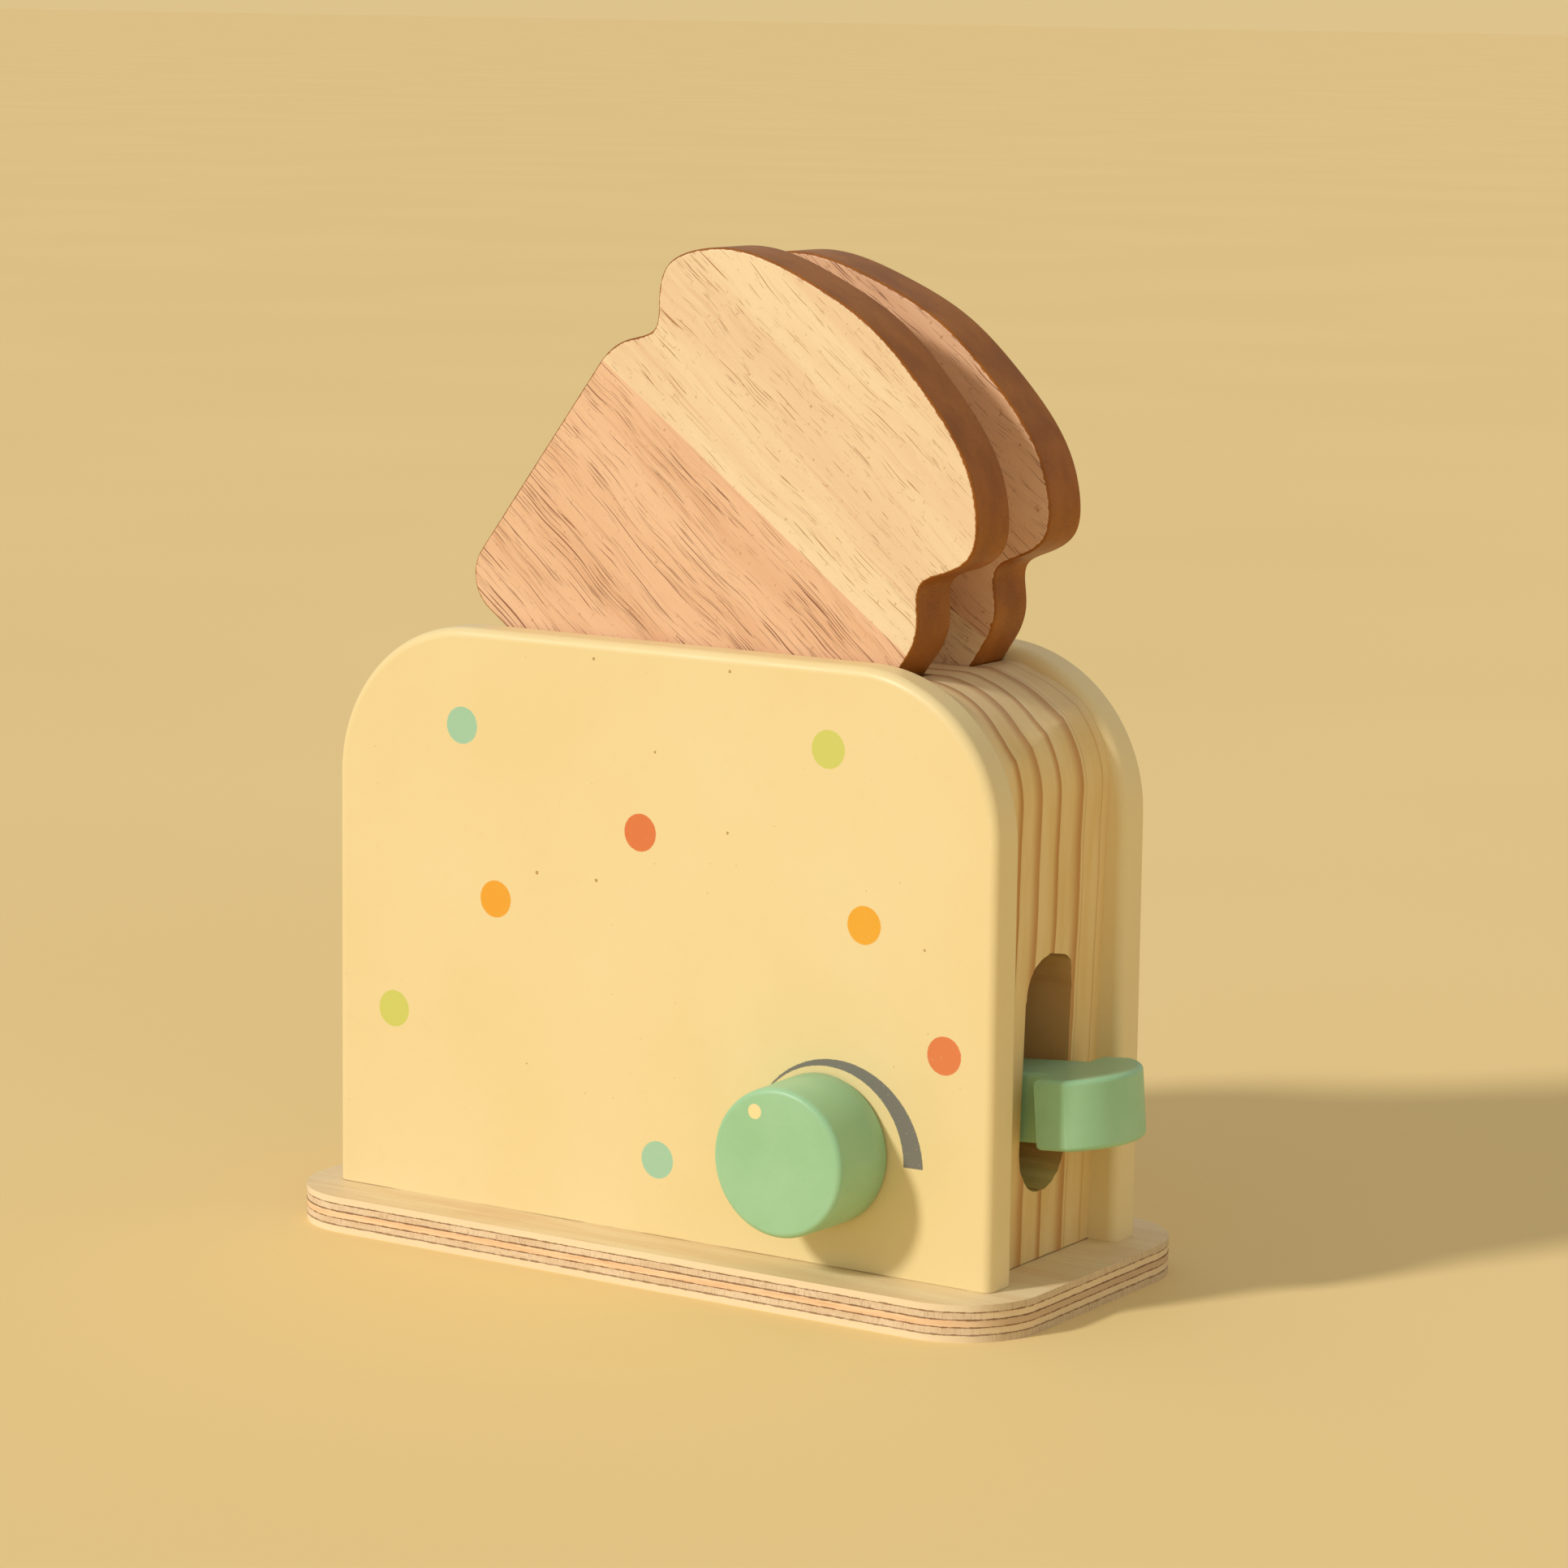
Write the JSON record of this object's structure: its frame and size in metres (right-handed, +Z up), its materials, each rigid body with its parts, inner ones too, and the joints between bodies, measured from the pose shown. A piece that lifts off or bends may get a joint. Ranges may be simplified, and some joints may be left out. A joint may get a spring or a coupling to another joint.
{
  "type": "toy toaster",
  "caption": "Wooden toy toaster with a sliding side lever, a turning dial knob and lift-out slices of bread in a slotted body on a plywood base.",
  "frame": {"origin": "middle of the underside of the plywood base", "axes": "+Z up, the printed front panel faces -Y, the lever is at the +X end"},
  "size_m": [0.2199, 0.105, 0.2477],
  "materials": {
    "birch_ply_face": "bare, sanded",
    "birch_ply_cross": "bare cut edge",
    "cream_paint": "satin paint on board",
    "pine": "bare, sanded",
    "beech": "bare",
    "mint_paint": "satin paint on wood",
    "rubberwood_pink": "bare face, brown painted edge",
    "rubberwood_pale": "bare face, brown painted edge",
    "steel": "zinc plated",
    "grommet_rubber": "matte",
    "lift_ply": "bare birch plywood"
  },
  "bodies": {
    "housing": {"base_face_ply_bottom": "birch_ply_face", "base_cross_ply_lower": "birch_ply_cross", "base_middle_ply": "birch_ply_face", "base_cross_ply_upper": "birch_ply_cross", "base_face_ply_top": "birch_ply_face", "base_screws": "steel", "front_panel": "cream_paint", "rear_panel": "cream_paint", "front_dowels": "beech", "rear_dowels": "beech", "core_block": "pine", "guide_rods": "steel"},
    "lift": {"lift_plate": "lift_ply", "toast_rest_dowels": "beech", "friction_grommets": "grommet_rubber", "lever_handle": "mint_paint", "lever_pin": "steel"},
    "knob": {"dial_knob": "mint_paint", "knob_axle": "beech", "knob_washer": "steel", "knob_screw": "steel"},
    "front_toast": {"front_toast_lower_stave": "rubberwood_pink", "front_toast_upper_stave": "rubberwood_pale"},
    "rear_toast": {"rear_toast_lower_stave": "rubberwood_pink", "rear_toast_upper_stave": "rubberwood_pale"}
  },
  "joints": [
    {"name": "lever_slide", "type": "slide", "parent": "housing", "child": "lift", "axis": [0, 0, 1], "range_m": [-0.0065, 0.0215]},
    {"name": "knob_turn", "type": "hinge", "parent": "housing", "child": "knob", "pos_m": [0.0494, -0.045, 0.0375], "axis": [0, -1, 0], "continuous": true},
    {"name": "front_toast_lift_out", "type": "slide", "parent": "housing", "child": "front_toast", "axis": [0.5948, 0, 0.8039], "range_m": [-0.007, 0.065]},
    {"name": "rear_toast_lift_out", "type": "slide", "parent": "housing", "child": "rear_toast", "axis": [0.5519, 0, 0.8339], "range_m": [-0.004, 0.065]}
  ]
}
